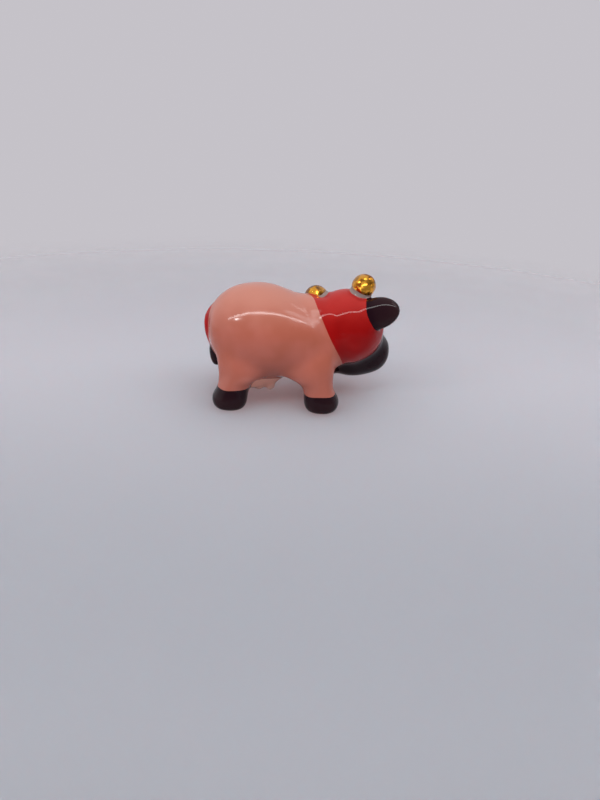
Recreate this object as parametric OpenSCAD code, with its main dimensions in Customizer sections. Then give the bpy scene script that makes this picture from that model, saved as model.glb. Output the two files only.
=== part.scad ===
// Cow figurine in glazed porcelain, built from the lumps it was luted together from.
// The nose points to +X, the left side to +Y, the hooves stand on z = 0. Millimetres.

/* [Torso] */
// Length from the rump to the chest
torso_length = 22; // [20:0.2:24]
// Greatest width across the belly
torso_width = 15.2; // [14:0.2:17]
// Depth from back to belly at the rump
rump_depth = 16; // [14.4:0.2:17]
// Depth from back to belly at the middle
belly_depth = 14.6; // [13:0.2:16]
// Depth from back to brisket at the shoulders
shoulder_depth = 13; // [12:0.2:14]
// Height of the middle of the barrel above the ground
torso_height = 12; // [11:0.2:13]

/* [Legs and hooves] */
// Diameter of a leg just above its hoof
leg_diameter = 4.7; // [4:0.1:5]
// Distance from the hind pair to the front pair
leg_spacing = 13.6; // [12:0.2:15]
// Distance between the left and right legs
leg_track = 9.2; // [8:0.2:10]
// Set-back of the front left leg behind the front right one
left_lag = 0.5; // [0:0.1:1]
// Lean of a leg towards the middle at its top
leg_lean = 2; // [1.6:0.1:3]
// Widening of a leg where it runs into the belly
leg_flare = 2.7; // [1.5:0.1:3]
// Fullness of the hind legs behind, at the top
haunch = 0.5; // [0:0.1:1.4]
// Height of a hoof
hoof_height = 3.4; // [2.6:0.1:3.8]
// Greatest diameter of a hoof
hoof_diameter = 5.8; // [5.2:0.1:6.2]
// Reach of a hoof beyond its leg, away from the other pair
hoof_toe = 0.55; // [0:0.05:0.8]

/* [Head] */
// Diameter of the skull
head_diameter = 12.2; // [11.4:0.2:13]
// Diameter of the nape, the lump between the skull and the withers
nape_diameter = 5.8; // [5:0.2:6.4]
// Turn of the head to the left, in degrees
head_yaw = 55; // [48:1:62]
// Lowering of the nose, in degrees
head_pitch = 50; // [42:1:56]
// Tilt of the head over to its left, in degrees
head_roll = 25; // [20:1:30]
// Width of the muzzle
muzzle_width = 11; // [9.6:0.2:11.6]
// Height of the muzzle
muzzle_height = 8.2; // [7:0.2:9]
// Reach of the nose from the middle of the skull
muzzle_reach = 10; // [9:0.2:11]
// Diameter of a nostril
nostril_diameter = 1.5; // [1:0.1:2]
// Diameter of the bead an eye is pressed from
eye_diameter = 2.4; // [2:0.1:3.2]

/* [Ears and horns] */
// Length of an ear, its buried root included
ear_length = 6.6; // [6:0.2:7.6]
// Width of an ear
ear_width = 5.4; // [4:0.2:6]
// Thickness of an ear
ear_thickness = 3; // [2.2:0.1:3.6]
// Diameter of a horn's ball
horn_ball = 3.8; // [3.4:0.1:4.2]
// Diameter of the pale collar round a ball's seat
horn_collar = 3.9; // [3.4:0.1:4.2]
// Height of a collar above the skull
collar_height = 0.4; // [0.3:0.1:0.8]
// Angle of a horn out from the crown, in degrees
horn_spread = 34; // [30:1:38]
// Angle of a horn behind the crown, in degrees
horn_sweep = 58; // [52:1:62]
// Height of the left ball's middle above the skull
left_horn_rise = 0.9; // [0.8:0.1:1.3]
// Height of the right ball's middle above the skull
right_horn_rise = 1.3; // [1:0.1:1.5]

/* [Tail and udder] */
// Diameter of the tail
tail_diameter = 2.2; // [1.8:0.1:2.6]
// Diameter of the tail tuft
tuft_diameter = 2.5; // [2:0.1:2.8]
// Length of the tail tuft
tuft_length = 4.8; // [3.8:0.2:5.4]
// Diameter of the udder
udder_diameter = 6; // [5:0.2:6.6]
// Diameter of a teat
teat_diameter = 1.5; // [1.1:0.1:1.7]
// Length of a teat below the udder
teat_length = 0.5; // [0.4:0.1:1]
// Distance between neighbouring teats
teat_spacing = 1.9; // [1.7:0.1:2.4]

/* [Hidden] */
$fn = 48;

// Colours of the glazes
pink = "#e39b88";
red = "#b41a1a";
dark = "#2c1b20";
pale = "#e6beb0";
ivory = "#ece4da";
gold = "#d8a63c";

// Moves the middle of the outer box over the origin
frame_shift = [0.42, -0.8, 0];

// Places along the barrel: its rump, the hind pair's distance from it, the udder's from that pair
rump_x = -15.1;
rear_inset = 4.3;
udder_ahead = 4.8;
// Height of the udder's middle above the belly, and of the skull's middle above the barrel's
udder_lift = 0.6;
head_lift = 0.3;
// The skull's middle ahead of the chest and to the left of the barrel, and the muzzle's drop below it
head_ahead = 0.3;
head_aside = 2;
muzzle_drop = 0.6;
// The nape's middle behind, beside and above the skull's
nape_from_head = [-3.1, 0.5, 2.3];
rear_x = rump_x + rear_inset;
front_x = rear_x + leg_spacing;
belly_z = torso_height - belly_depth / 2;
head_r = head_diameter / 2;
head_at = [rump_x + torso_length + head_ahead, head_aside, torso_height + head_lift];
muzzle_half = muzzle_reach * 0.34;
udder_at = [rear_x + udder_ahead, 0, belly_z + udder_lift];
// How sharply the barrel closes at its rump
rump_round = 0.72;

// Smooth curve through evenly spaced values, u from 0 to 1
function through(v, u) =
    let (n = len(v) - 1, s = min(u * n, n - 0.0001), i = floor(s), f = s - i,
        a = v[max(i - 1, 0)], b = v[i], c = v[i + 1], d = v[min(i + 2, n)])
    b + 0.5 * f * (c - a + f * (2 * a - 5 * b + 4 * c - d + f * (3 * (b - c) + d - a)));

// Sine or cosine pushed towards a rounded square where p is under 1
function pushed(v, p) = sign(v) * pow(abs(v), p);

// Oval ring across X
function oval(x, y, z, ry, rz, n, p = 1) =
    [for (i = [0:n - 1]) let (a = 360 * i / n)
        [x, y + ry * pushed(cos(a), p), z + rz * pushed(sin(a), p)]];

// Where the back of the rump lies at a height above or below the middle of the barrel
function rump_at(dz) =
    rump_x + torso_length * (1 - sqrt(1 - pow(abs(dz) * 2 / rump_depth, 2 / rump_round))) / 2;

// Middle line of the tail down the back of the rump
function tail_line(u) =
    let (dz = rump_depth * through([0.18, 0.16, 0.08, -0.03, -0.15], u))
    [rump_at(dz) + through([1.1, 0.5, 0.15, 0.25, 0.6], u), 0, torso_height + dz];

// Solid skin over rings that follow one another
module skin(rings) {
    n = len(rings[0]);
    m = len(rings);
    sides = [for (j = [0:m - 2]) for (i = [0:n - 1])
        let (a = j * n + i, b = j * n + (i + 1) % n)
        each [[a, b + n, b], [a, a + n, b + n]]];
    first = [for (i = [0:n - 1]) i];
    last = [for (i = [n - 1:-1:0]) (m - 1) * n + i];
    polyhedron([for (r = rings) each r], concat(sides, [first], [last]), convexity = 6);
}

// Puts a piece into the frame
module placed() translate(frame_shift) children();

// Puts a piece into the head's own axes, nose along X, left along Y, crown along Z
module in_head() translate(head_at) rotate([-head_roll, head_pitch, head_yaw]) children();

// Puts a piece under the barrel; ahead is 1 for the front pair, left is 1 for the left side
module at_leg(ahead, left)
    translate([ahead < 0 ? rear_x : left > 0 ? front_x - left_lag : front_x, left * leg_track / 2, 0]) children();

// Barrel lofted from the rump to the chest
module torso_form() {
    hy = torso_width / 2 * [0.95, 1, 1, 0.86, 0.7];
    hz = [rump_depth, rump_depth, belly_depth, shoulder_depth, shoulder_depth - 1] / 2;
    skin([for (j = [1:25])
        let (t = 180 * j / 26, u = (1 - cos(t)) / 2, k = pow(sin(t), rump_round - 0.08 * u),
            drop = through([0, -0.1, -0.4, -1.5, -2.6], u))
        oval(rump_x + torso_length * u, 0, torso_height + drop, k * through(hy, u), k * through(hz, u), 40)]);
}

// Leg from its hoof up into the barrel, leaning in and widening towards the belly
module leg_form(ahead, left) {
    top = torso_height - hoof_height - 1;
    r = leg_diameter / 2;
    at_leg(ahead, left) translate([0, 0, hoof_height]) rotate([0, -90, 0])
        skin([for (j = [0:12])
            let (z = top * j / 12, s = min(1, max(0, (z - 0.2) / (belly_z - hoof_height + 0.4))),
                f = leg_flare * (1 - sqrt(1 - s * s)), lean = leg_lean * pow(z / top, 2),
                h = ahead < 0 ? haunch * z / top : 0)
            oval(z, -left * (f / 4 + lean), ahead * (f - h) / 2, r + f / 4, r + (f + h) / 2, 28)]);
}

// Hoof with its toe turned out, closed at the top by the ring that the leg stands on
module hoof_form(ahead, left) {
    r = hoof_diameter / 2;
    at_leg(ahead, left) rotate([0, -90, 0])
        skin([for (j = [0:8])
            let (u = j / 8, s = through([0.8, 0.97, 1, 0.98, leg_diameter / hoof_diameter], u),
                out = hoof_toe * through([0.8, 1, 1, 0.8, 0], u))
            oval(hoof_height * u, 0, -ahead * out, r * s, r * s, 28, 0.82 + 0.18 * u * u)]);
}

module udder_form() translate(udder_at) sphere(d = udder_diameter);

module tail_form() {
    r = tail_diameter / 2;
    skin([for (j = [0:14])
        let (u = j / 14, p = tail_line(u), q = tail_line(min(u + 0.02, 1)) - tail_line(max(u - 0.02, 0)),
            n = [q[2], 0, -q[0]] / norm(q))
        [for (i = [0:15]) let (a = 360 * i / 16) p + r * (cos(a) * n + sin(a) * [0, 1, 0])]]);
}

// Drop that hangs from the tail's end and lies against the rump
module tuft_form() {
    top = tail_line(1) + [0, 0, 0.4];
    low = top + [0.4, 0, -tuft_length];
    skin([for (j = [1:11])
        let (t = 180 * j / 12, u = (1 - cos(t)) / 2, k = pow(sin(t), 0.7) * (1 - 0.15 * u),
            p = top + (low - top) * u, r = tuft_diameter / 2)
        [for (i = [0:15]) let (a = 360 * i / 16) p + r * k * [-cos(a), sin(a), 0]]]);
}

module head_form() {
    in_head() skin([for (j = [1:19])
        let (t = 180 * j / 20, k = head_r * pow(sin(t), 0.95))
        oval(-head_r * cos(t), 0, 0, k, k, 36)]);
    translate(head_at + nape_from_head) sphere(d = nape_diameter);
}

module muzzle_form() in_head()
    skin([for (j = [1:15])
        let (t = 180 * j / 16, k = pow(sin(t), 0.75), x = muzzle_reach - muzzle_half * (1 + cos(t)))
        oval(x, 0, -muzzle_drop, muzzle_width / 2 * k, muzzle_height / 2 * k, 36, 0.82)]);

module nostrils() in_head()
    for (side = [-1, 1])
        translate([muzzle_reach - 0.2, side * muzzle_width * 0.19, muzzle_height * 0.14 - muzzle_drop])
            sphere(d = nostril_diameter);

// Leaf-shaped ear, dished on the side that faces forward
module ear_form(root, aim, front) in_head() translate(root * head_r) rotate(aim) difference() {
    skin([for (j = [0:14])
        let (u = sin(88 * j / 14), k = (0.8 + 0.2 * sin(180 * u)) * sqrt(1 - pow(u, 4.5)))
        oval(ear_length * u, 0, 0, ear_thickness / 2 * k, ear_width / 2 * k, 24)]);
    translate([ear_length * 0.66, front * (ear_thickness * 0.26 + ear_width / 2), 0]) sphere(d = ear_width);
}

module left_ear_form() ear_form([0.08, 0.55, 0.25], [-20, -14, 52], -1);

module right_ear_form() ear_form([-0.52, -0.47, -0.17], [31, -7, -83], 1);

// Puts a piece on a horn's axis; side is 1 for the left horn
module on_horn(side) in_head() rotate([-side * horn_spread, -horn_sweep, 0]) children();

module horn_base_form(side) on_horn(side) translate([0, 0, head_r - collar_height])
    cylinder(d1 = horn_collar, d2 = horn_collar - collar_height, h = collar_height * 2);

module horn_ball_form(side) on_horn(side)
    translate([0, 0, head_r + (side > 0 ? left_horn_rise : right_horn_rise)]) sphere(d = horn_ball);

module eye_form(side) in_head() rotate([0, -52, side * 34])
    translate([head_r + 0.4 - eye_diameter / 2, 0, 0]) sphere(d = eye_diameter);

module torso() placed() color(pink) torso_form();

module leg(ahead, left) placed() color(pink) difference() {
    leg_form(ahead, left);
    torso_form();
    if (ahead > 0) head_form();
    if (ahead > 0) muzzle_form();
}

module front_left_leg() leg(1, 1);

module front_right_leg() leg(1, -1);

module rear_left_leg() leg(-1, 1);

module rear_right_leg() leg(-1, -1);

module hoof(ahead, left) placed() color(dark) hoof_form(ahead, left);

module front_left_hoof() hoof(1, 1);

module front_right_hoof() hoof(1, -1);

module rear_left_hoof() hoof(-1, 1);

module rear_right_hoof() hoof(-1, -1);

module udder() placed() color(pale) difference() {
    udder_form();
    torso_form();
    leg_form(-1, 1);
    leg_form(-1, -1);
}

module teats() placed() color(pale) difference() {
    for (x = [-1, 1]) for (y = [-1, 1])
        translate(udder_at + [x * teat_spacing / 2, y * teat_spacing / 2,
            teat_diameter / 2 - udder_diameter / 2 - teat_length]) {
            sphere(d = teat_diameter);
            cylinder(d = teat_diameter, h = udder_diameter / 3);
        }
    udder_form();
}

module tail() placed() color(red) difference() {
    tail_form();
    torso_form();
}

module tail_tuft() placed() color(dark) difference() {
    tuft_form();
    torso_form();
    tail_form();
}

module head() placed() color(red) difference() {
    head_form();
    torso_form();
}

module muzzle() placed() color(dark) difference() {
    muzzle_form();
    head_form();
    torso_form();
    nostrils();
}

module left_ear() placed() color(dark) difference() {
    left_ear_form();
    head_form();
    torso_form();
    leg_form(1, 1);
    horn_base_form(1);
    horn_ball_form(1);
}

module right_ear() placed() color(dark) difference() {
    right_ear_form();
    head_form();
    torso_form();
    horn_base_form(-1);
    horn_ball_form(-1);
}

module horn_base(side) placed() color(ivory) difference() {
    horn_base_form(side);
    head_form();
    torso_form();
    horn_ball_form(side);
}

module left_horn_base() horn_base(1);

module right_horn_base() horn_base(-1);

module horn_ball_piece(side) placed() color(gold) difference() {
    horn_ball_form(side);
    head_form();
    torso_form();
}

module left_horn_ball() horn_ball_piece(1);

module right_horn_ball() horn_ball_piece(-1);

module eye(side) placed() color(dark) difference() {
    eye_form(side);
    head_form();
}

module left_eye() eye(1);

module right_eye() eye(-1);

torso();
front_left_leg();
front_right_leg();
rear_left_leg();
rear_right_leg();
front_left_hoof();
front_right_hoof();
rear_left_hoof();
rear_right_hoof();
udder();
teats();
tail();
tail_tuft();
head();
muzzle();
left_ear();
right_ear();
left_horn_base();
right_horn_base();
left_horn_ball();
right_horn_ball();
left_eye();
right_eye();
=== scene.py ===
"""Glazed porcelain cow figurine. Lengths are in millimetres, and MM turns them into metres."""

import itertools
import math

import bpy
import numpy as np
from mathutils import Matrix, Vector
from mathutils.bvhtree import BVHTree


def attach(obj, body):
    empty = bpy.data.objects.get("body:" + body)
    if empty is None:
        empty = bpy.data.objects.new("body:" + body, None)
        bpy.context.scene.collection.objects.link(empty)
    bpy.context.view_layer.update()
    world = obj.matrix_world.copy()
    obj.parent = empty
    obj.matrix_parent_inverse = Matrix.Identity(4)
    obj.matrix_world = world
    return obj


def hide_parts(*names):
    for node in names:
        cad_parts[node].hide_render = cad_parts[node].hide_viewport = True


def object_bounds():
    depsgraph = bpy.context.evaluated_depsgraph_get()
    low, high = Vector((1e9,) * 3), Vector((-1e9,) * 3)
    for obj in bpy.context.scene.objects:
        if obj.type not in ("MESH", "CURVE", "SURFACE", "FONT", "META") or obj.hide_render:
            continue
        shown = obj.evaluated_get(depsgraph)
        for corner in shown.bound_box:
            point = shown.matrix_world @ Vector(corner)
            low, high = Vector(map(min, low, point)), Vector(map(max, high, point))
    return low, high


MM = 0.001

# Lumps that make the body
CORNERS = [f"{end}_{side}" for end in ("front", "rear") for side in ("left", "right")]
LEGS = [f"{corner}_leg" for corner in CORNERS]
HOOVES = [f"{corner}_hoof" for corner in CORNERS]
BODY = ["torso", *LEGS, *HOOVES]
# Other lumps: width of the soft joint with what is already there, and how far facets are evened out
LUMPS = {
    "udder": (1.6, 0.2), "teats": (0.5, 0.0), "tail": (0.7, 0.3), "tail_tuft": (0.5, 0.3),
    "head": (1.6, 0.5), "muzzle": (2.0, 0.35), "left_ear": (0.9, 0.3), "right_ear": (0.9, 0.3),
    "left_horn_base": (0.4, 0.0), "right_horn_base": (0.4, 0.0),
    "left_horn_ball": (0.2, 0.0), "right_horn_ball": (0.2, 0.0),
    "left_eye": (0.3, 0.0), "right_eye": (0.3, 0.0),
}

# Spacing of the distance samples that the skin is made from, and the room they have round the cow
PITCH = 0.25
MARGIN = 2.6
# How far out the body's solids and the other lumps are measured
BODY_REACH = 2.5
LUMP_REACH = 2.4
# Step past a place where a line has crossed a skin, and least number that is divided by
PAST = PITCH / 1000
LEAST = 1e-9
# Widths of the soft joints of legs and hooves, and radius of the slip that fills the corners left
LEG_JOINT = 2.6
HOOF_JOINT = 0.4
SLIP_FILLET = 2.0
# Slip packed between withers and skull: middle and radii, then its soft joint
NECK_SLIP = ((1.9, -0.2, 13.8), (3.3, 2.8, 3.0))
NECK_SLIP_JOINT = 3.0
# The same between udder and hind legs
UDDER_SLIP = ((-7.4, -0.8, 3.5), (1.3, 3.0, 1.25))
UDDER_SLIP_JOINT = 1.2
# How far the facets of the body are evened out, and the whole skin after it is joined
BODY_EVEN = 0.55
SKIN_EVEN = 0.2
# Height and length of the unevenness that hands leave, and the height above the floor at which it is full
HAND_WAVE = 0.035
HAND_LENGTH = 7.0
HAND_START = 4.0
# Shares of X, Y and Z in the four waves that make it up, and a shift that keeps them out of step
HAND_SLANTS = ((1, 0.6, 0), (0, 0.9, -0.5), (0.4, 0, 1.3), (0.7, -1, 0))
HAND_SHIFT = 1
# Passes that spread the skin's points evenly, and steps in each that bring them back to the skin
SETTLE_PASSES = 4
SETTLE_STEPS = 2
# Width over which hollows gather glaze
POOL_WIDTH = 0.8

# How far a colour is brushed past the edge of its lump
BRUSHED = {
    "muzzle": -0.1, "tail": 0.1, "left_ear": -0.1, "right_ear": -0.1, "teats": 0.2,
    "right_horn_base": -0.22, "left_horn_ball": -0.15, "right_horn_ball": -0.22,
    "left_eye": 0.2, "right_eye": 0.2, "front_left_hoof": -0.3, "front_right_hoof": -0.3,
    "rear_left_hoof": 0.3, "rear_right_hoof": 0.3,
}
# How far the skull's colour is brushed onto the neck at the jaw and at the nape, with their heights
SKULL_BRUSHED = (0.1, 1.05)
SKULL_HEIGHTS = (6.5, 15.5)
# By how much the skull is still nearer than the torso where that brushing begins
SKULL_BORDER = 0.5
# How far the muzzle's colour rises on the skull
MUZZLE_RISE = 1.6
# How many times as fast as another colour the gold ends beside its ball
GOLD_ENDS = 3.0
# How far the edges of colours are evened out, and the lumps too thin for that
PAINT_EVEN = 0.25
THIN_LUMPS = ["left_horn_base", "right_horn_base", "teats"]
# How much those edges wander, the length of the waves, and their phases along X, Y and Z
WANDER = 0.12
WANDER_LENGTH = 4.0
WANDER_PHASES = (0, 1.3, 2.1)

# Glazes and the lumps that they cover
GLAZES = {
    "pink_glaze": ["torso", *LEGS],
    "red_glaze": ["head", "tail"],
    "dark_glaze": ["muzzle", "left_ear", "right_ear", "tail_tuft", "left_eye", "right_eye", *HOOVES],
    "pale_glaze": ["udder", "teats"],
    "ivory_glaze": ["left_horn_base", "right_horn_base"],
    "gold_lustre": ["left_horn_ball", "right_horn_ball"],
}
# Colours of a glaze with painted light on top and painted shade at the feet, and the refraction and
# roughness of its gloss
GLAZE_LOOKS = {
    "pink_glaze": {
        "main": (0.47, 0.12, 0.073), "cloudy": (0.52, 0.14, 0.095), "pooled": (0.51, 0.13, 0.082),
        "thin": (0.63, 0.24, 0.19), "crown": (0.56, 0.22, 0.16), "painted_foot_light_and_shade": (0.42, 0.12, 0.083),
        "gloss": (1.46, 0.13),
    },
    "red_glaze": {
        "main": (0.31, 0.001, 0.001), "cloudy": (0.37, 0.002, 0.002), "pooled": (0.23, 0.001, 0.001),
        "thin": (0.46, 0.013, 0.011), "crown": (0.48, 0.03, 0.025), "painted_foot_light_and_shade": (0.31, 0.002, 0.002),
        "gloss": (1.27, 0.04),
    },
    "dark_glaze": {
        "main": (0.010, 0.001, 0.004), "cloudy": (0.014, 0.002, 0.006), "pooled": (0.006, 0.001, 0.002),
        "thin": (0.025, 0.009, 0.011), "crown": (0.013, 0.002, 0.006), "painted_foot_light_and_shade": (0.014, 0.003, 0.006),
        "gloss": (1.26, 0.03),
    },
    "pale_glaze": {
        "main": (0.87, 0.39, 0.29), "cloudy": (0.88, 0.43, 0.33), "pooled": (0.88, 0.38, 0.28),
        "thin": (0.88, 0.52, 0.43), "crown": (0.87, 0.39, 0.29), "painted_foot_light_and_shade": (0.87, 0.41, 0.31),
        "gloss": (1.38, 0.05),
    },
    "ivory_glaze": {
        "main": (0.27, 0.20, 0.18), "cloudy": (0.31, 0.24, 0.22), "pooled": (0.20, 0.12, 0.11),
        "thin": (0.46, 0.40, 0.37), "crown": (0.29, 0.22, 0.20), "painted_foot_light_and_shade": (0.27, 0.20, 0.18),
        "gloss": (1.40, 0.03),
    },
}
# Heights over which painted light lightens the top and painted shade darkens the feet (on the dark glaze
# a painted floor reflection lightens them), and their shift by clouds
PAINTED_TOP_LIGHT_HEIGHTS = (14.0, 20.5)
PAINTED_FOOT_HEIGHTS = (11.0, 6.0)
PAINTED_LIGHT_DRIFT = 3.0
# Clouds, grain and waves in the glaze: size, and how finely they are broken up
CLOUDS = (5.0, 2.0)
GRAIN = (0.7, 3.0)
WAVES = (3.2, 1.0)
# Levels of noise over which clouds and grain set in
CLOUDS_OVER = (0.35, 0.65)
GRAIN_OVER = (0.3, 0.7)
# Depths of hollows over which glaze pools, and of edges over which it thins
POOLED_OVER = (0.0, 0.14)
THINNED_OVER = (-0.1, -0.34)
# Roughness under the gloss, then a unit of height for its bumps, and the waves and the grain in that unit
UNDER_GLOSS = (0.3, 0.42)
GLAZE_WAVE = 0.012
WAVES_HEIGHT = 6.0
GRAIN_HEIGHT = 0.3

# Colours of the gold where it covers and where it is thin
LUSTRE_LOOK = {"main": (0.92, 0.43, 0.05), "thin": (0.28, 0.09, 0.012)}
# Thin patches, grain and strayed facets of the gold: size, and how finely they are broken up
LUSTRE_PATCHES = (1.7, 2.0)
LUSTRE_GRAIN = (0.5, 3.0)
LUSTRE_STRAYS = (1.2, 2.0)
# Size of the facets, how far their edges stray, and how much they lean either way from the middle
LUSTRE_FACET = 0.9
LUSTRE_STRAY = 0.5
LUSTRE_LEAN = 0.9
LUSTRE_MIDDLE = (0.5, 0.5, 0.5)
# Levels of noise over which the gold covers, and its roughness
LUSTRE_OVER = (0.38, 0.54)
LUSTRE_ROUGH = (0.1, 0.24)
# Places of the colours among the sockets of a mixing node: two that go in and one that comes out
FIRST_COLOUR = 6
SECOND_COLOUR = 7
MIXED_COLOUR = 2

# Floor: corners, colours in front and behind, darker in front as painted shade, and where along Y one
# turns into the other
FLOOR = ((-450, -450), (450, 290))
FLOOR_PAINTED_SHADE_TONES = ((0.37, 0.38, 0.42), (0.55, 0.54, 0.59))
FLOOR_PAINTED_SHADE_TURN = (-60.0, 20.0)
# How far light spreads in it, the shares of that for red, green and blue, and its finish
FLOOR_DEPTH = 38.0
FLOOR_SCATTER = (1.0, 0.55, 0.5)
FLOOR_ROUGHNESS = 0.8
FLOOR_SHINE = 0.2
# Distances over which it fades into the backdrop
FLOOR_FADE = (40.0, 180.0)
# Colours that the camera and the gloss see all round
CEILING = (0.66, 0.65, 0.68)
BACKDROP = (0.56, 0.54, 0.58)
FRONT = (0.28, 0.28, 0.29)
LEFT_WALL = (0.95, 0.94, 0.97)
# Way to what is overhead and behind, and where each of those colours turns into the next
OVERHEAD = (0, 0.838, 0.545)
CEILING_OVER = (0.25, 0.6)
BEHIND_OVER = (-0.15, 0.15)
LEFT_OVER = (-0.5, -0.95)
# Soft light from all round: where it is brightest, and its brightness there and opposite
BRIGHT_SIDE = (-0.62, 0.38, 0.69)
BRIGHT = (0.66, 0.65, 0.67)
DIM = (0.36, 0.36, 0.37)
# Cosine of the angle to that side, from opposite to there
ALL_ROUND = (-1.0, 1.0)
# Lamps: the place that they face, then two ends, width and brightness beside white of each
LAMP_AIM = (0, 0, 10)
LAMPS = {
    "tube": ((-350, -212, 220), (308, -74, 220), 22, 11.5),
    "thin_tube": ((115, 98, 220), (285, -66, 220), 8, 4.6),
    "patch": ((125, -22, 220), (255, -52, 220), 46, 2.4),
    "bulb": ((-184, -148, 122), (-172, -158, 122), 14, 50.0),
}

# Camera: direction from its target, distance, the target, tilt that raises it in the frame, roll
VIEW_AZIMUTH = -1.0
VIEW_ELEVATION = 18.0
VIEW_DISTANCE = 98.0
VIEW_TARGET = (0.42, -0.8, 10.0)
VIEW_TILT = 5.56
VIEW_ROLL = 2.6
# Focal length and height of the frame in pixels, size of the sensor, and nearest distance that shows
FOCAL_PIXELS = 601.0
FRAME_HEIGHT = 800.0
SENSOR = 36.0
NEAREST = 5.0

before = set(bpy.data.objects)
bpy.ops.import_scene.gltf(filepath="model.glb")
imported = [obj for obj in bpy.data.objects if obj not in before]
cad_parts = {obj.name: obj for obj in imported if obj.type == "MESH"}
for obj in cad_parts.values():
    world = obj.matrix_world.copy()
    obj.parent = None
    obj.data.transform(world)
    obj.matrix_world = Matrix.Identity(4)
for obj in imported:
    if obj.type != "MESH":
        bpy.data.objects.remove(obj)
cad_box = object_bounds()
# Lowest sample, number of samples each way, and last place that has a sample beyond it
LOW = np.array(cad_box[0]) / MM - MARGIN
COUNT = np.ceil((np.array(cad_box[1]) / MM + MARGIN - LOW) / PITCH).astype(int) + 1
LAST = COUNT - 1.001


def crossings(tree, x, y):
    """Heights at which an upright line passes through a solid's skin."""
    found = []
    start = Vector((x, y, LOW[2] - MARGIN))
    while True:
        hit = tree.ray_cast(start, Vector((0, 0, 1)))[0]
        if hit is None:
            return found
        found.append(hit.z)
        start.z = hit.z + PAST


def distance_to(name, reach):
    """Signed distance from the samples to a CAD solid, negative inside it, no larger than reach."""
    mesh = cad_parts[name].data
    corners = np.array([corner.co for corner in mesh.vertices]) / MM
    tree = BVHTree.FromPolygons(corners.tolist(), [tuple(face.vertices) for face in mesh.polygons])
    first = np.maximum(np.floor((corners.min(0) - reach - LOW) / PITCH).astype(int), 0)
    last = np.minimum(np.ceil((corners.max(0) + reach - LOW) / PITCH).astype(int) + 1, COUNT)
    heights = LOW[2] + PITCH * np.arange(first[2], last[2])
    field = np.full(COUNT, reach)
    for i, j in itertools.product(range(first[0], last[0]), range(first[1], last[1])):
        x, y = LOW[0] + i * PITCH, LOW[1] + j * PITCH
        found = [tree.find_nearest((x, y, z), reach)[3] for z in heights]
        inside = np.searchsorted(crossings(tree, x, y), heights) % 2
        away = np.array([reach if gap is None else gap for gap in found])
        field[i, j, first[2]:last[2]] = np.where(inside, -away, away)
    return field


def evened(field, width):
    """The field after a soft blur of that standard deviation."""
    # Each pass has a variance of half a squared pitch
    for _ in range(round(2 * (width / PITCH) ** 2)):
        for axis in range(3):
            padded = np.pad(field, [(1, 1) if k == axis else (0, 0) for k in range(3)], mode="edge")
            padded = np.moveaxis(padded, axis, 0)
            field = np.moveaxis((padded[:-2] + 2 * padded[1:-1] + padded[2:]) / 4, 0, axis)
    return field


def lump(middle, radii, reach):
    """Rough signed distance from the samples to an ellipsoid, no larger than reach."""
    axes = [LOW[k] + PITCH * np.arange(COUNT[k]) for k in range(3)]
    grid = np.stack(np.meshgrid(*axes, indexing="ij"), -1)
    away = np.linalg.norm((grid - np.array(middle)) / np.array(radii), axis=-1)
    return np.minimum((away - 1) * min(radii), reach)


def handled():
    """Small smooth waves through the samples."""
    axes = [2 * math.pi / HAND_LENGTH * PITCH * np.arange(COUNT[k]) for k in range(3)]
    turns = np.meshgrid(*axes, indexing="ij")
    a, b, c, d = (sum(share * turn for share, turn in zip(slant, turns)) for slant in HAND_SLANTS)
    waves = np.sin(a) * np.cos(b) + np.sin(c + HAND_SHIFT) * np.cos(d)
    heights = LOW[2] + PITCH * np.arange(COUNT[2])
    return HAND_WAVE * waves * np.clip(heights / HAND_START, 0, 1)


def joined(a, b, width, reach):
    """Union of two fields with a soft joint, which fades out as their reach ends."""
    near = np.maximum(width - np.abs(a - b), 0)
    near = near * np.clip(2 - 2 * np.maximum(a, b) / reach, 0, 1)
    return np.minimum(a, b) - near * near / (4 * width)


def surface(field):
    """Points and quads over the zero level of a field, one point in each cell that it crosses."""
    total = np.zeros((*COUNT, 3))
    hits = np.zeros(COUNT, int)
    quads = []
    step = np.eye(3, dtype=int)
    for axis in range(3):
        inner = [slice(1, -1)] * 3
        near = field[tuple(inner)]
        inner[axis] = slice(2, None)
        far = field[tuple(inner)]
        # Neighbouring samples between which the field changes sign, and the point where it does
        at = np.argwhere((near < 0) != (far < 0))
        start, end = near[tuple(at.T)], far[tuple(at.T)]
        at += 1
        point = at + np.outer(start / (start - end), step[axis])
        # The four cells round it share a quad that faces outwards
        b, c = step[(axis + 1) % 3], step[(axis + 2) % 3]
        ring = np.stack([at, at - b, at - b - c, at - c], 1)
        for k in range(4):
            np.add.at(total, tuple(ring[:, k].T), point)
            np.add.at(hits, tuple(ring[:, k].T), 1)
        quads.append(np.where((start < 0)[:, None, None], ring, ring[:, ::-1]))
    used = hits > 0
    number = np.cumsum(used.ravel()).reshape(COUNT) - 1
    points = LOW + PITCH * total[used] / hits[used][:, None]
    return points, number[tuple(np.concatenate(quads).transpose(2, 0, 1))]


def filled(field, radius):
    """The field with its inner corners filled as far as a ball of that radius can't reach."""
    points, quads = surface(field - radius)
    tree = BVHTree.FromPolygons(points.tolist(), quads.tolist())
    result = field.copy()
    for cell in np.argwhere(np.abs(field) < radius - PITCH / 2):
        result[tuple(cell)] = radius - tree.find_nearest(LOW + PITCH * cell)[3]
    return result


def sample(field, points):
    """Value of a field, or of a field of vectors, between its samples."""
    place = np.clip((points - LOW) / PITCH, 0, LAST)
    cell = place.astype(int)
    share = place - cell
    value = 0
    for corner in itertools.product((0, 1), repeat=3):
        weight = np.prod(np.where(corner, share, 1 - share), axis=1)
        value = value + weight.reshape(-1, *[1] * (field.ndim - 3)) * field[tuple((cell + corner).T)]
    return value


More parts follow.
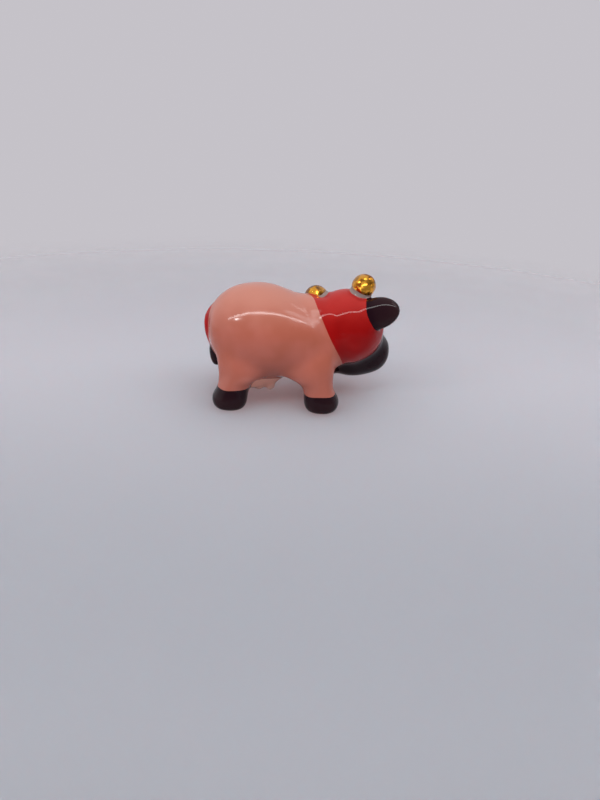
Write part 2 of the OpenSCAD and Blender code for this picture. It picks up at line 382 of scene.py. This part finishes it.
def settled(points, quads, field, slope):
    """Points spread evenly over the zero level of a field."""
    ends = np.concatenate([quads, np.roll(quads, 1, axis=1)]).ravel()
    others = np.concatenate([np.roll(quads, 1, axis=1), quads]).ravel()
    count = np.bincount(ends, minlength=len(points))[:, None]
    for _ in range(SETTLE_PASSES):
        # Halfway to the mean of the neighbours, then back along the slope
        total = np.zeros_like(points)
        np.add.at(total, ends, points[others])
        points = (points + total / count) / 2
        for _ in range(SETTLE_STEPS):
            normal = sample(slope, points)
            away = sample(field, points) / np.sum(normal * normal, axis=1)
            points = points - normal * away[:, None]
    return points


# Skin over all the lumps
distances = {name: distance_to(name, BODY_REACH) for name in BODY}
distances.update({name: distance_to(name, LUMP_REACH) for name in LUMPS})
skin = distances["torso"]
for name in LEGS:
    skin = joined(skin, distances[name], LEG_JOINT, BODY_REACH)
for name in HOOVES:
    skin = joined(skin, distances[name], HOOF_JOINT, BODY_REACH)
skin = evened(filled(skin, SLIP_FILLET), BODY_EVEN)
udder_slip = lump(*UDDER_SLIP, BODY_REACH)
skin = joined(skin, udder_slip, UDDER_SLIP_JOINT, BODY_REACH)
skin = joined(skin, lump(*NECK_SLIP, BODY_REACH), NECK_SLIP_JOINT, BODY_REACH)
for name, (width, even) in LUMPS.items():
    skin = joined(skin, evened(distances[name], even), width, LUMP_REACH)
skin = evened(skin, SKIN_EVEN) + handled()
slope = np.stack(np.gradient(skin, PITCH), -1)
points, quads = surface(skin)
points = settled(points, quads, skin, slope)


def zone_distances(points):
    """How far each point is from each lump's colour, with brushed and wandering edges."""
    away = {}
    for name, field in distances.items():
        away[name] = sample(field if name in THIN_LUMPS else evened(field, PAINT_EVEN), points)
    away["udder"] = np.minimum(away["udder"], sample(udder_slip, points))
    nearer = away["torso"] - away["head"]
    skull = np.interp(points[:, 2], SKULL_HEIGHTS, SKULL_BRUSHED)
    table = []
    for number, name in enumerate(distances):
        turns = 2 * math.pi / WANDER_LENGTH * points + number
        wave = np.sin(turns + WANDER_PHASES).mean(1)
        zone = away[name] - BRUSHED.get(name, 0) + WANDER * wave
        if name.endswith("ball"):
            zone = zone + (GOLD_ENDS - 1) * np.maximum(away[name], 0)
        if name == "head":
            zone = zone - skull * np.clip(SKULL_BORDER - nearer, 0, 1)
        if name == "muzzle":
            zone = zone - MUZZLE_RISE * np.clip(nearer, 0, 1)
        table.append(zone)
    return np.stack(table, 1)


class Paint:
    """Cuts the skin into the patches that are painted with one lump's colour."""

    def __init__(self, points, quads):
        self.points = [Vector(point) for point in points]
        self.away = zone_distances(points)
        self.zone = self.away.argmin(1)
        self.cuts = {}
        self.faces = {number: [] for number in range(len(distances))}
        # Each quad is split along its shorter diagonal
        for a, b, c, d in quads.tolist():
            if (self.points[a] - self.points[c]).length < (self.points[b] - self.points[d]).length:
                self.add(a, b, c)
                self.add(a, c, d)
            else:
                self.add(a, b, d)
                self.add(b, c, d)

    def new(self, point):
        """Keeps a new point and gives its number."""
        self.points.append(point)
        return len(self.points) - 1

    def cut(self, i, j):
        """Point between i and j where two colours meet."""
        key = (min(i, j), max(i, j))
        if key not in self.cuts:
            a, b = self.zone[i], self.zone[j]
            here = self.away[i][b] - self.away[i][a]
            there = self.away[j][a] - self.away[j][b]
            share = here / max(here + there, LEAST)
            self.cuts[key] = self.new(self.points[i].lerp(self.points[j], share))
        return self.cuts[key]

    def add(self, *corners):
        """Puts a triangle into its patch, or splits it between two or three patches."""
        zones = [self.zone[corner] for corner in corners]
        if len(set(zones)) == 1:
            self.faces[zones[0]].append(corners)
            return
        if len(set(zones)) == 2:
            lone = next(k for k in range(3) if zones.count(zones[k]) == 1)
            a, b, c = (corners[(lone + k) % 3] for k in range(3))
            ab, ac = self.cut(a, b), self.cut(a, c)
            self.faces[zones[lone]].append((a, ab, ac))
            self.faces[self.zone[b]].append((ab, b, c, ac))
            return
        a, b, c = corners
        ab, bc, ca = self.cut(a, b), self.cut(b, c), self.cut(c, a)
        middle = self.new((self.points[ab] + self.points[bc] + self.points[ca]) / 3)
        for corner, after, before in ((a, ab, ca), (b, bc, ab), (c, ca, bc)):
            self.faces[self.zone[corner]].append((corner, after, middle, before))


def rims(faces):
    """Closed loops of edges round a patch."""
    edges = {(face[k - 1], face[k]) for face in faces for k in range(len(face))}
    following = {}
    for a, b in edges:
        if (b, a) not in edges:
            following.setdefault(b, []).append(a)
    loops = []
    while following:
        start = next(iter(following))
        loop = [start]
        while True:
            after = following[loop[-1]].pop()
            if not following[loop[-1]]:
                del following[loop[-1]]
            if after == start:
                break
            loop.append(after)
        loops.append(loop)
    return loops


def piece(name, faces, points, normals, pools):
    """Closed mesh of one patch: the glazed face, and an inner face across each rim."""
    glazed = len(faces)
    inner = []
    middles = []
    for loop in rims(faces):
        middles.append(points[loop].mean(0))
        inner += [(a, b, len(points) + len(middles) - 1) for a, b in zip(loop, loop[1:] + loop[:1])]
    corners = np.concatenate([points, middles]) if middles else points
    faces = faces + inner
    used = sorted({k for face in faces for k in face})
    place = {k: number for number, k in enumerate(used)}
    mesh = bpy.data.meshes.new(name)
    mesh.from_pydata((corners[used] * MM).tolist(), [], [[place[k] for k in face] for face in faces])
    mesh.shade_smooth()
    corner_normals = [normals[k] for face in faces[:glazed] for k in face]
    for flat in mesh.polygons[glazed:]:
        corner_normals += [flat.normal[:]] * 3
    mesh.normals_split_custom_set(corner_normals)
    depth = np.concatenate([pools, np.zeros(len(middles))])[used]
    mesh.attributes.new("pool", "FLOAT", "POINT").data.foreach_set("value", depth.astype(np.float32))
    made = bpy.data.objects.new(name, mesh)
    bpy.context.collection.objects.link(made)
    return made


# One piece of skin for each lump
paint = Paint(points, quads)
all_points = np.array(paint.points)
normals = sample(slope, all_points)
normals /= np.linalg.norm(normals, axis=1)[:, None]
pools = sample(skin - evened(skin, POOL_WIDTH), all_points)
pieces = {}
for number, name in enumerate(distances):
    pieces[name] = piece(f"{name}_glaze", paint.faces[number], all_points, normals, pools)


def metres(lengths):
    """Those lengths in metres."""
    return [length * MM for length in lengths]


def feed(tree, node, inputs):
    """Sets inputs of a shader node, each to a value or to another node's socket."""
    for key, value in inputs.items():
        if isinstance(value, bpy.types.NodeSocket):
            tree.links.new(value, node.inputs[key])
        else:
            node.inputs[key].default_value = value


def add(tree, kind, inputs, **settings):
    """New shader node with those inputs and settings."""
    made = tree.nodes.new(kind)
    for key, value in settings.items():
        setattr(made, key, value)
    feed(tree, made, inputs)
    return made


def calc(tree, operation, first, second):
    """Result of one operation on two numbers or sockets."""
    return add(tree, "ShaderNodeMath", {0: first, 1: second}, operation=operation).outputs[0]


def vector_calc(tree, operation, *inputs, output="Vector"):
    """Result of one operation on vectors or sockets."""
    made = add(tree, "ShaderNodeVectorMath", dict(enumerate(inputs)), operation=operation)
    return made.outputs[output]


def noise(tree, place, size, detail, output="Fac"):
    """Noise with spots of about that size."""
    inputs = {"Vector": place, "Scale": 1 / (size * MM), "Detail": detail}
    return add(tree, "ShaderNodeTexNoise", inputs).outputs[output]


def spread(tree, value, over, ends=(0.0, 1.0)):
    """Smooth step from one end to the other, as a value passes over a range."""
    low, high = over
    start, end = ends
    inputs = {"Value": value, "From Min": low, "From Max": high, "To Min": start, "To Max": end}
    return add(tree, "ShaderNodeMapRange", inputs, interpolation_type="SMOOTHSTEP").outputs["Result"]


def blend(tree, share, first, second):
    """Colour between two colours or colour sockets."""
    made = add(tree, "ShaderNodeMix", {0: share}, data_type="RGBA")
    for slot, colour in ((FIRST_COLOUR, first), (SECOND_COLOUR, second)):
        feed(tree, made, {slot: colour if isinstance(colour, bpy.types.NodeSocket) else (*colour, 1)})
    return made.outputs[MIXED_COLOUR]


def start_material(name):
    """Material, its tree and shader, and places on the object."""
    material = bpy.data.materials.new(name)
    material.use_nodes = True
    tree = material.node_tree
    place = add(tree, "ShaderNodeTexCoord", {}).outputs["Object"]
    return material, tree, tree.nodes["Principled BSDF"], place


def glaze(name, main, cloudy, pooled, thin, crown, painted_foot_light_and_shade, gloss):
    """Glossy, faintly waved glaze: cloudy, changed in hollows and over edges, with painted light on top
    and painted shade at the feet.
    """
    material, tree, shader, place = start_material(name)
    pool = add(tree, "ShaderNodeAttribute", {}, attribute_name="pool").outputs["Fac"]
    rise = add(tree, "ShaderNodeSeparateXYZ", {"Vector": place}).outputs["Z"]
    clouds = noise(tree, place, *CLOUDS)
    grain = noise(tree, place, *GRAIN)
    level = calc(tree, "ADD", rise, calc(tree, "MULTIPLY", clouds, PAINTED_LIGHT_DRIFT * MM))
    colour = blend(tree, spread(tree, clouds, CLOUDS_OVER), main, cloudy)
    # Painted light makes the top lighter; painted shade makes the feet darker, and on the dark glaze a
    # painted floor reflection makes them lighter
    colour = blend(tree, spread(tree, level, metres(PAINTED_TOP_LIGHT_HEIGHTS)), colour, crown)
    colour = blend(tree, spread(tree, level, metres(PAINTED_FOOT_HEIGHTS)), colour, painted_foot_light_and_shade)
    colour = blend(tree, spread(tree, pool, POOLED_OVER), colour, pooled)
    colour = blend(tree, spread(tree, pool, THINNED_OVER), colour, thin)
    waves = calc(tree, "MULTIPLY", noise(tree, place, *WAVES), WAVES_HEIGHT)
    height = calc(tree, "ADD", waves, calc(tree, "MULTIPLY", grain, GRAIN_HEIGHT))
    bump = add(tree, "ShaderNodeBump", {"Height": height, "Strength": 1.0, "Distance": GLAZE_WAVE * MM})
    normal = bump.outputs["Normal"]
    feed(tree, shader, {
        "Base Color": colour, "Roughness": spread(tree, grain, GRAIN_OVER, UNDER_GLOSS),
        "Specular IOR Level": 0.0, "Normal": normal, "Coat Normal": normal,
        "Coat Weight": 1.0, "Coat IOR": gloss[0], "Coat Roughness": gloss[1],
    })
    return material


def lustre(name, main, thin):
    """Gold brushed over the glaze: facets like crinkled foil, with brown where it is thin."""
    material, tree, shader, place = start_material(name)
    patches = noise(tree, place, *LUSTRE_PATCHES)
    grain = noise(tree, place, *LUSTRE_GRAIN)
    strays = noise(tree, place, *LUSTRE_STRAYS, output="Color")
    strayed = vector_calc(tree, "MULTIPLY_ADD", strays, (LUSTRE_STRAY * MM,) * 3, place)
    facets = add(tree, "ShaderNodeTexVoronoi", {"Vector": strayed, "Scale": 1 / (LUSTRE_FACET * MM)})
    across = vector_calc(tree, "SUBTRACT", strayed, facets.outputs["Position"])
    lean = vector_calc(tree, "SUBTRACT", facets.outputs["Color"], LUSTRE_MIDDLE)
    height = vector_calc(tree, "DOT_PRODUCT", lean, across, output="Value")
    bump = add(tree, "ShaderNodeBump", {"Height": height, "Strength": 1.0, "Distance": LUSTRE_LEAN})
    feed(tree, shader, {
        "Base Color": blend(tree, spread(tree, patches, LUSTRE_OVER), thin, main), "Metallic": 1.0,
        "Roughness": spread(tree, grain, GRAIN_OVER, LUSTRE_ROUGH), "Normal": bump.outputs["Normal"],
    })
    return material


# Finish of each piece
materials = {slot: glaze(slot, **look) for slot, look in GLAZE_LOOKS.items()}
materials["gold_lustre"] = lustre("gold_lustre", **LUSTRE_LOOK)
for slot, names in GLAZES.items():
    for name in names:
        pieces[name].data.materials.append(materials[slot])
        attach(pieces[name], "root")
        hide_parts(name)


def stage_floor():
    """Pale matt sheet under the cow, with painted shade that makes it a little darker towards the front,
    and no edge in sight.
    """
    mesh = bpy.data.meshes.new("floor")
    (left, front), (right, back) = FLOOR
    corners = [(left, front, 0), (right, front, 0), (right, back, 0), (left, back, 0)]
    mesh.from_pydata([Vector(corner) * MM for corner in corners], [], [(0, 1, 2, 3)])
    made = bpy.data.objects.new("floor", mesh)
    bpy.context.collection.objects.link(made)
    material, tree, shader, place = start_material("floor")
    depth = add(tree, "ShaderNodeSeparateXYZ", {"Vector": place}).outputs["Y"]
    shader.subsurface_method = "BURLEY"
    # Painted shade: the floor's colour darkens towards the front
    feed(tree, shader, {
        "Base Color": blend(tree, spread(tree, depth, metres(FLOOR_PAINTED_SHADE_TURN)), *FLOOR_PAINTED_SHADE_TONES),
        "Roughness": FLOOR_ROUGHNESS, "Specular IOR Level": FLOOR_SHINE, "Subsurface Weight": 1.0,
        "Subsurface Radius": FLOOR_SCATTER, "Subsurface Scale": FLOOR_DEPTH * MM,
    })
    away = vector_calc(tree, "LENGTH", place, output="Value")
    fade = spread(tree, away, metres(FLOOR_FADE))
    clear = add(tree, "ShaderNodeBsdfTransparent", {}).outputs["BSDF"]
    mixed = add(tree, "ShaderNodeMixShader", {0: fade, 1: shader.outputs["BSDF"], 2: clear})
    feed(tree, tree.nodes["Material Output"], {"Surface": mixed.outputs["Shader"]})
    mesh.materials.append(material)


def studio_world():
    """Soft light from all round, and the plain surroundings that show behind the cow and in its gloss."""
    world = bpy.data.worlds.new("world")
    bpy.context.scene.world = world
    world.use_nodes = True
    tree = world.node_tree
    way = add(tree, "ShaderNodeTexCoord", {}).outputs["Generated"]
    axes = add(tree, "ShaderNodeSeparateXYZ", {"Vector": way})
    over = vector_calc(tree, "DOT_PRODUCT", way, OVERHEAD, output="Value")
    side = vector_calc(tree, "DOT_PRODUCT", way, BRIGHT_SIDE, output="Value")
    seen = blend(tree, spread(tree, axes.outputs["Z"], CEILING_OVER), BACKDROP, CEILING)
    seen = blend(tree, spread(tree, over, BEHIND_OVER), FRONT, seen)
    seen = blend(tree, spread(tree, axes.outputs["X"], LEFT_OVER), seen, LEFT_WALL)
    light = blend(tree, spread(tree, side, ALL_ROUND), DIM, BRIGHT)
    path = add(tree, "ShaderNodeLightPath", {})
    show = path.outputs["Is Camera Ray"]
    for kind in ("Is Glossy Ray", "Is Transmission Ray"):
        show = calc(tree, "MAXIMUM", show, path.outputs[kind])
    feed(tree, tree.nodes["Background"], {"Color": blend(tree, show, light, seen), "Strength": 1.0})


def lamp(name, first, last, width, glow):
    """Strip lamp between two places, facing the cow; glow is how many times as bright as white it is."""
    first, last = Vector(first), Vector(last)
    middle = (first + last) / 2
    facing = (Vector(LAMP_AIM) - middle).normalized()
    across = (last - first).cross(facing).normalized()
    along = facing.cross(across)
    data = bpy.data.lights.new(name, "AREA")
    data.shape = "RECTANGLE"
    data.size, data.size_y = (last - first).length * MM, width * MM
    data.energy = glow * math.pi * data.size * data.size_y
    made = bpy.data.objects.new(name, data)
    turn = Matrix((along, across, -facing)).transposed()
    made.matrix_world = Matrix.Translation(middle * MM) @ turn.to_4x4()
    bpy.context.collection.objects.link(made)


def studio_camera():
    """Camera at the photograph's angle and distance."""
    az, el = math.radians(VIEW_AZIMUTH), math.radians(VIEW_ELEVATION)
    back = Vector((math.sin(az) * math.cos(el), -math.cos(az) * math.cos(el), math.sin(el)))
    place = Vector(VIEW_TARGET) + back * VIEW_DISTANCE
    level = (-back).to_track_quat("-Z", "Y").to_matrix()
    tilt = Matrix.Rotation(math.radians(-VIEW_TILT), 3, "X")
    roll = Matrix.Rotation(math.radians(VIEW_ROLL), 3, "Z")
    data = bpy.data.cameras.new("camera")
    data.lens = FOCAL_PIXELS / FRAME_HEIGHT * SENSOR
    data.sensor_width = SENSOR
    data.clip_start = NEAREST * MM
    made = bpy.data.objects.new("camera", data)
    made.matrix_world = Matrix.Translation(place * MM) @ (level @ tilt @ roll).to_4x4()
    bpy.context.collection.objects.link(made)
    bpy.context.scene.camera = made


# Floor, light and camera
stage_floor()
studio_world()
for name, settings in LAMPS.items():
    lamp(name, *settings)
studio_camera()
bpy.context.scene.view_settings.view_transform = "Standard"
